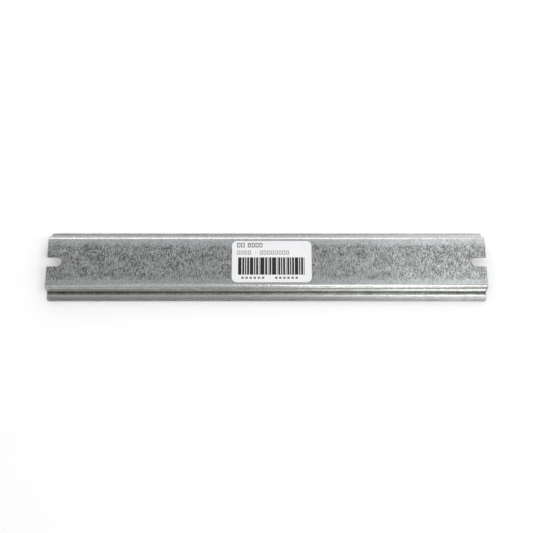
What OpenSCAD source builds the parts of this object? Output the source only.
// Top-hat mounting rail, 35 mm wide and 7.5 mm high, roll-formed from zinc-coated steel strip,
// cut to a short length with an open screw slot in each end. It lies on its two flanges, with
// the web up, and carries a self-adhesive paper label on the back of the web.
//
// Frame: X along the rail, Y across it, Z up. The origin is at the middle of the rail, on the
// plane of the flanges' faces, where it rests.

/* [Rail] */
// Length the rail is cut to
rail_length = 210; // [80:1:1000]
// Width over the two flanges
rail_width = 35; // [32:0.5:50]
// Width over the outside of the channel
channel_width = 27; // [20:0.5:28]
// Height from the flange faces to the back of the web
rail_height = 7.5; // [6:0.5:15]
// Thickness of the coated strip
sheet = 1; // [0.8:0.1:1.5]
// Inside radius of the four bends
bend_radius = 0.8; // [0.4:0.1:1.2]
// Radius on the four corners of the flanges, left by the cropping tool
flange_corner = 1.3; // [0.5:0.1:2]

/* [End slots] */
// Width of each open slot, for an M4 screw
slot_width = 4.8; // [4.3:0.1:6.5]
// Depth of each slot, from the end of the rail to the bottom of its round end
slot_depth = 7; // [5:0.5:15]

/* [Label] */
// Length of the label along the rail
label_length = 38.1; // [20:0.1:60]
// Width of the label across the web
label_width = 21.2; // [10:0.1:22]
// Radius of the label's corners
label_corner = 2.5; // [0.5:0.1:4]
// Thickness of the paper and its adhesive
label_thickness = 0.1; // [0.05:0.01:0.3]
// Distance from the middle of the rail to the middle of the label
label_shift = 2.5; // [-5:0.1:5]

/* [Hidden] */
$fn = 64;
zinc_grey = "#9CA1A1";
paper_white = "#ECECEE";
outer_radius = bend_radius + sheet;
spill = 1; // how far a cutting shape runs past the face that it cuts

// Rectangle of the given size around the origin, with arcs of the given radius for corners
module rounded_rectangle(length, width, radius) {
    square([length - 2 * radius, width], center = true);
    square([length, width - 2 * radius], center = true);
    for (x = [-1, 1], y = [-1, 1])
        translate([x * (length / 2 - radius), y * (width / 2 - radius)])
            circle(r = radius);
}

// Section of one right-angle bend: the quarter of a ring around the origin that lies
// on the side (side_y, side_z), each of them 1 or -1
module bend_section(side_y, side_z) {
    intersection() {
        difference() {
            circle(r = outer_radius);
            circle(r = bend_radius);
        }
        translate([min(0, side_y) * outer_radius, min(0, side_z) * outer_radius])
            square(outer_radius);
    }
}

// Half of the top-hat section, from the middle of the web out to one flange's edge
module half_section() {
    web_end = channel_width / 2 - outer_radius;
    wall_top = rail_height - outer_radius;
    wall_bottom = outer_radius;
    flange_start = channel_width / 2 + bend_radius;

    translate([0, rail_height - sheet])
        square([web_end, sheet]);
    translate([web_end, wall_top])
        bend_section(1, 1);
    translate([channel_width / 2 - sheet, wall_bottom])
        square([sheet, wall_top - wall_bottom]);
    translate([flange_start, wall_bottom])
        bend_section(-1, -1);
    translate([flange_start, 0])
        square([rail_width / 2 - flange_start, sheet]);
}

// The strip bent to its section and run out to the rail's length
module formed_strip() {
    rotate([90, 0, 90])
        linear_extrude(rail_length, center = true)
            union() {
                half_section();
                mirror([1, 0])
                    half_section();
            }
}

// Outline of one open slot, with its round end inside the rail and its mouth at +X
module slot_outline() {
    arc_centre = rail_length / 2 - slot_depth + slot_width / 2;
    translate([arc_centre, 0])
        circle(d = slot_width);
    translate([arc_centre, -slot_width / 2])
        square([rail_length / 2 - arc_centre + spill, slot_width]);
}

module rail() {
    color(zinc_grey)
        difference() {
            intersection() {
                formed_strip();
                linear_extrude(rail_height)
                    rounded_rectangle(rail_length, rail_width, flange_corner);
            }
            for (end = [0, 1])
                mirror([end, 0, 0])
                    translate([0, 0, rail_height - sheet - spill])
                        linear_extrude(sheet + 2 * spill)
                            slot_outline();
        }
}

module label() {
    color(paper_white)
        translate([label_shift, 0, rail_height])
            linear_extrude(label_thickness)
                rounded_rectangle(label_length, label_width, label_corner);
}

rail();
label();
